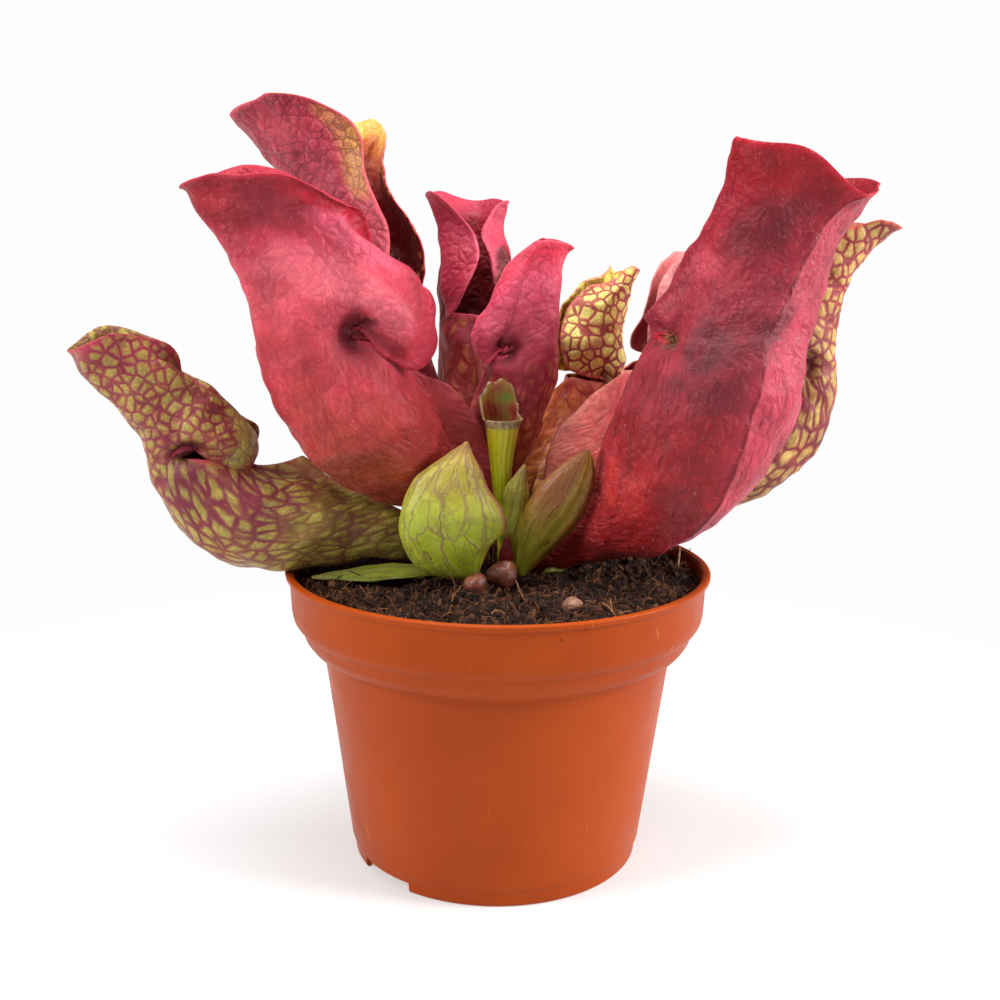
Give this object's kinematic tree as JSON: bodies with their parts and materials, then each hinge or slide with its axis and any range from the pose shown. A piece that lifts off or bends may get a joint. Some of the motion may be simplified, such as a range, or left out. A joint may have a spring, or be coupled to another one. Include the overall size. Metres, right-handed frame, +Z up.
{
  "type": "potted pitcher plant",
  "caption": "Potted pitcher plant: hollow hooded leaves and green buds rising from dark peat in a round plastic nursery pot with a stepped rim.",
  "frame": {"origin": "middle of the whole plant's plan, at the underside of the pot's foot ring", "axes": "+Z up along the pot's axis; +X towards the large crimson pitcher on the right; -Y towards the side with the open leaf bud and the rhizome knobs"},
  "size_m": [0.2246, 0.127, 0.2124],
  "materials": {
    "pot_plastic": "satin terracotta-coloured polypropylene",
    "peat": "damp fibrous peat",
    "skin_pink": "downy living leaf, salmon pink",
    "skin_rose": "downy living leaf, rose red",
    "skin_crimson": "downy living leaf, dark crimson",
    "skin_pale": "downy living leaf, pale pink",
    "skin_veined_green": "living leaf, yellow-green with maroon veins",
    "skin_veined_red": "living leaf, pink and yellow with dark red veins",
    "bud_green": "young leaf, green with faint purple veins",
    "stub_green": "cut leaf stalk, bright green",
    "rhizome": "smooth reddish-brown rhizome",
    "scale_red": "small red scale leaf",
    "bark": "dry bark",
    "dry_twig": "dry pale twig"
  },
  "bodies": {
    "root": {"pitcher_left_large": "skin_pink", "pitcher_left_low": "skin_veined_green", "pitcher_left_back": "skin_veined_red", "pitcher_back": "skin_rose", "pitcher_centre": "skin_rose", "pitcher_right_small": "skin_veined_green", "pitcher_right_pale": "skin_pale", "pitcher_right_back": "skin_veined_green", "pitcher_right_large": "skin_crimson", "pot": "pot_plastic", "peat": "peat", "leaf_bud": "bud_green", "young_leaf": "bud_green", "small_bud": "bud_green", "low_leaf": "bud_green", "leaf_fragment": "bud_green", "cut_leaf": "stub_green", "rhizome_knob_left": "rhizome", "rhizome_knob_right": "rhizome", "crown_scale": "scale_red", "bark_chip": "bark", "twig": "dry_twig"}
  },
  "joints": []
}
